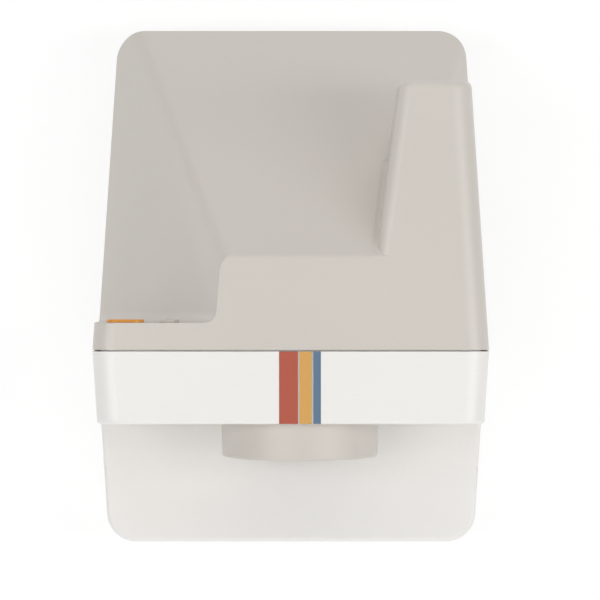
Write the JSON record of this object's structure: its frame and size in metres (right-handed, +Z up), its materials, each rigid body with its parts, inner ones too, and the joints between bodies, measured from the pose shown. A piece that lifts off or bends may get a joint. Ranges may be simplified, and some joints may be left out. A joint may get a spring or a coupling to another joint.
{
  "type": "instant camera",
  "caption": "Box-shaped instant film camera with sloped rear hump, overhanging viewfinder, round lens barrel, drop-down film door with exit rollers, and inlaid accent bars.",
  "frame": {"origin": "centre of the underside, on the plane of the feet", "axes": "+X towards the viewfinder side, +Y to the rear, +Z up; the lens looks along -Y"},
  "size_m": [0.1148, 0.1486, 0.094],
  "materials": {
    "shell_beige": "fine-textured moulded ABS, warm greige",
    "shell_white": "fine-textured moulded ABS, warm white",
    "accent_terracotta": "satin inlay",
    "accent_ochre": "satin inlay",
    "accent_slate": "satin inlay",
    "amber_plastic": "satin amber, slightly translucent",
    "red_plastic": "satin orange-red",
    "black_plastic": "matt black, anti-reflection",
    "dark_gloss": "smoked window",
    "rubber_grey": "soft rubber",
    "steel": "ground steel",
    "zinc": "zinc plated",
    "gear_nylon": "natural acetal",
    "lens_glass": "coated optical element",
    "clear_plastic": "clear acrylic",
    "mirror_glass": "front-silvered",
    "reflector": "bright metallised",
    "board_green": "solder mask",
    "battery_wrap": "foil pouch"
  },
  "bodies": {
    "camera_body": {"rear_shell": "shell_beige", "front_shell": "shell_white", "base_cover": "shell_beige", "rubber_feet": "rubber_grey", "door_hinge_pins": "steel", "base_screws": "zinc", "strap_pins": "steel", "accent_bar_wide": "accent_terracotta", "accent_bar_middle": "accent_ochre", "accent_bar_narrow": "accent_slate", "drive_motor": "zinc", "motor_bracket": "zinc", "gear_plate": "zinc", "film_chamber": "black_plastic", "light_cone": "black_plastic", "mirror": "mirror_glass", "lens_barrel": "shell_beige", "lens_bezel": "black_plastic", "front_lens": "lens_glass", "rear_lens": "lens_glass", "lens_mount": "black_plastic", "shutter_plate": "black_plastic", "flash_window": "clear_plastic", "flash_reflector": "reflector", "flash_tube": "clear_plastic", "flash_capacitor": "dark_gloss", "viewfinder_window": "clear_plastic", "viewfinder_tunnel": "black_plastic", "eyepiece_frame": "black_plastic", "eyepiece_lens": "clear_plastic", "meter_windows": "dark_gloss", "counter_window": "dark_gloss", "button_board": "board_green", "main_board": "board_green", "battery": "battery_wrap", "usb_socket": "zinc"},
    "film_door": {"film_door": "shell_white", "roller_frame": "black_plastic", "film_shield": "black_plastic"},
    "lower_roller": {"lower_roller": "steel", "lower_roller_gear": "gear_nylon"},
    "upper_roller": {"upper_roller": "steel", "upper_roller_gear": "gear_nylon"},
    "door_idler": {"door_idler_gear": "gear_nylon"},
    "body_idler": {"body_idler_gear": "gear_nylon"},
    "drive_gear": {"drive_gear": "gear_nylon"},
    "motor_rotor": {"motor_pinion": "zinc", "motor_shaft": "steel"},
    "pick_arm": {"pick_arm": "zinc"},
    "focus_arm": {"focus_arm": "black_plastic", "focus_lenses": "lens_glass"},
    "shutter_blade_left": {"shutter_blade_left": "black_plastic"},
    "shutter_blade_right": {"shutter_blade_right": "black_plastic"},
    "shutter_button": {"shutter_button": "red_plastic"},
    "self_timer_button": {"self_timer_button": "shell_beige"},
    "power_button": {"power_button": "amber_plastic"},
    "mode_button": {"mode_button": "shell_beige", "mode_button_light": "amber_plastic"},
    "door_latch": {"door_latch": "black_plastic"}
  },
  "joints": [
    {"name": "film_door_hinge", "type": "hinge", "parent": "camera_body", "child": "film_door", "pos_m": [0, -0.0388, 0.0026], "axis": [1, 0, 0], "range_deg": [0, 82]},
    {"name": "lower_roller_spin", "type": "hinge", "parent": "film_door", "child": "lower_roller", "pos_m": [0, -0.062, 0.0173], "axis": [1, 0, 0], "continuous": true},
    {"name": "upper_roller_spin", "type": "hinge", "parent": "film_door", "child": "upper_roller", "pos_m": [0, -0.062, 0.0257], "axis": [1, 0, 0], "continuous": true},
    {"name": "door_idler_spin", "type": "hinge", "parent": "film_door", "child": "door_idler", "pos_m": [0, -0.0502, 0.01289], "axis": [1, 0, 0], "continuous": true},
    {"name": "body_idler_spin", "type": "hinge", "parent": "camera_body", "child": "body_idler", "pos_m": [0, -0.04155, 0.02246], "axis": [1, 0, 0], "continuous": true},
    {"name": "drive_gear_spin", "type": "hinge", "parent": "camera_body", "child": "drive_gear", "pos_m": [0, -0.02985, 0.02246], "axis": [1, 0, 0], "continuous": true},
    {"name": "motor_spin", "type": "hinge", "parent": "camera_body", "child": "motor_rotor", "pos_m": [0, -0.02507, 0.03147], "axis": [1, 0, 0], "continuous": true},
    {"name": "pick_arm_slide", "type": "slide", "parent": "camera_body", "child": "pick_arm", "axis": [0, -1, 0], "range_m": [0, 0.012], "stiffness_N_per_m": 20},
    {"name": "focus_arm_turn", "type": "hinge", "parent": "camera_body", "child": "focus_arm", "pos_m": [0.00256, -0.0312, 0.0505], "axis": [0, 1, 0], "range_deg": [0, 62]},
    {"name": "shutter_blade_left_slide", "type": "slide", "parent": "camera_body", "child": "shutter_blade_left", "axis": [-1, 0, 0], "range_m": [0, 0.0104], "stiffness_N_per_m": 10},
    {"name": "shutter_blade_right_slide", "type": "slide", "parent": "camera_body", "child": "shutter_blade_right", "axis": [1, 0, 0], "range_m": [0, 0.0104], "stiffness_N_per_m": 10},
    {"name": "shutter_button_slide", "type": "slide", "parent": "camera_body", "child": "shutter_button", "axis": [0, 1, 0], "range_m": [0, 0.0015], "stiffness_N_per_m": 600},
    {"name": "self_timer_button_slide", "type": "slide", "parent": "camera_body", "child": "self_timer_button", "axis": [0, 1, 0], "range_m": [0, 0.0007], "stiffness_N_per_m": 600},
    {"name": "power_button_slide", "type": "slide", "parent": "camera_body", "child": "power_button", "axis": [0, -1, 0], "range_m": [0, 0.0007], "stiffness_N_per_m": 600},
    {"name": "mode_button_slide", "type": "slide", "parent": "camera_body", "child": "mode_button", "axis": [0, -1, 0], "range_m": [0, 0.0007], "stiffness_N_per_m": 600},
    {"name": "door_latch_slide", "type": "slide", "parent": "camera_body", "child": "door_latch", "axis": [0, 0, 1], "range_m": [0, 0.004], "stiffness_N_per_m": 200}
  ],
  "couplings": [
    {"joint": "upper_roller_spin", "follows": "lower_roller_spin", "ratio": -1},
    {"joint": "door_idler_spin", "follows": "lower_roller_spin", "ratio": -0.5},
    {"joint": "body_idler_spin", "follows": "lower_roller_spin", "ratio": 0.93333},
    {"joint": "drive_gear_spin", "follows": "lower_roller_spin", "ratio": -0.58333},
    {"joint": "motor_spin", "follows": "lower_roller_spin", "ratio": 1.4},
    {"joint": "shutter_blade_right_slide", "follows": "shutter_blade_left_slide", "ratio": 1}
  ]
}
